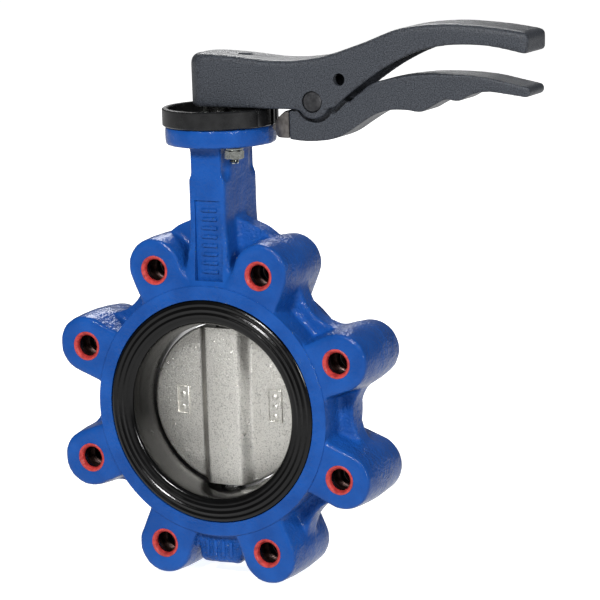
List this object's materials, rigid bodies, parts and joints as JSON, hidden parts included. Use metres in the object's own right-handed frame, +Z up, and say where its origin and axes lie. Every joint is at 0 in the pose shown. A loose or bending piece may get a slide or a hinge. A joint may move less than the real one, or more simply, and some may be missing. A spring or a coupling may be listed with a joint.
{
  "type": "lug butterfly valve",
  "caption": "Lug-type butterfly valve with a rubber-seated disc, tapped lugs and a notched hand lever with a squeeze latch trigger.",
  "frame": {"origin": "where the stem's axis crosses the pipe's axis, at the centre of the disc and midway between the two lug faces", "axes": "Y along the pipe with -Y out of the front lug face, +Z up the stem, +X along the lever with the valve shut"},
  "size_m": [0.3032, 0.0687, 0.3328],
  "materials": {
    "blue_epoxy": "glossy blue epoxy over a lumpy casting, tapped holes ringed in red",
    "black_rubber": "smooth, slightly glossy black rubber",
    "stainless": "cast stainless steel, grainy, warm grey",
    "stem_steel": "turned stainless steel",
    "bronze": "plain bearing bronze",
    "white_ptfe": "white thrust pad",
    "black_plate": "satin black",
    "zinc": "bright zinc plate",
    "black_steel": "blackened steel",
    "slate_lever": "dark slate grey powder coat with a fine grain",
    "slate_trigger": "dark slate grey powder coat with a fine grain",
    "tooth_steel": "dark phosphated steel",
    "pin_steel": "dark satin steel",
    "spring_steel": "drawn wire"
  },
  "bodies": {
    "valve": {"valve_body": "blue_epoxy", "seat_liner": "black_rubber", "upper_bush": "bronze", "middle_bush": "bronze", "lower_bush": "bronze", "lower_thrust_pad": "white_ptfe", "stem_retaining_ring": "zinc", "notch_plate": "black_plate", "notch_plate_bolt_1": "zinc", "notch_plate_bolt_2": "zinc", "notch_plate_nut_1": "zinc", "notch_plate_nut_2": "zinc", "head_washer_1": "zinc", "head_washer_2": "zinc", "nut_washer_1": "zinc", "nut_washer_2": "zinc"},
    "lever_and_disc": {"lever_handle": "slate_lever", "lever_clamp_plate": "zinc", "lever_clamp_screw": "black_steel", "trigger_pin": "pin_steel", "trigger_spring": "spring_steel", "upper_stem": "stem_steel", "lower_stem": "stem_steel", "disc": "stainless", "upper_o_ring": "black_rubber", "middle_o_ring": "black_rubber", "lower_o_ring": "black_rubber"},
    "trigger_arm": {"trigger": "slate_trigger", "latch_tooth": "tooth_steel"}
  },
  "joints": [
    {"name": "lever_turn", "type": "hinge", "parent": "valve", "child": "lever_and_disc", "pos_m": [0, 0, 0], "axis": [0, 0, 1], "range_deg": [0, 90]},
    {"name": "trigger_squeeze", "type": "hinge", "parent": "lever_and_disc", "child": "trigger_arm", "pos_m": [0.0675, 0, 0.1843], "axis": [0, -1, 0], "range_deg": [-5, 8], "stiffness_Nm_per_rad": 1.5, "springref_deg": -5, "deforming": ["trigger_spring"]}
  ]
}
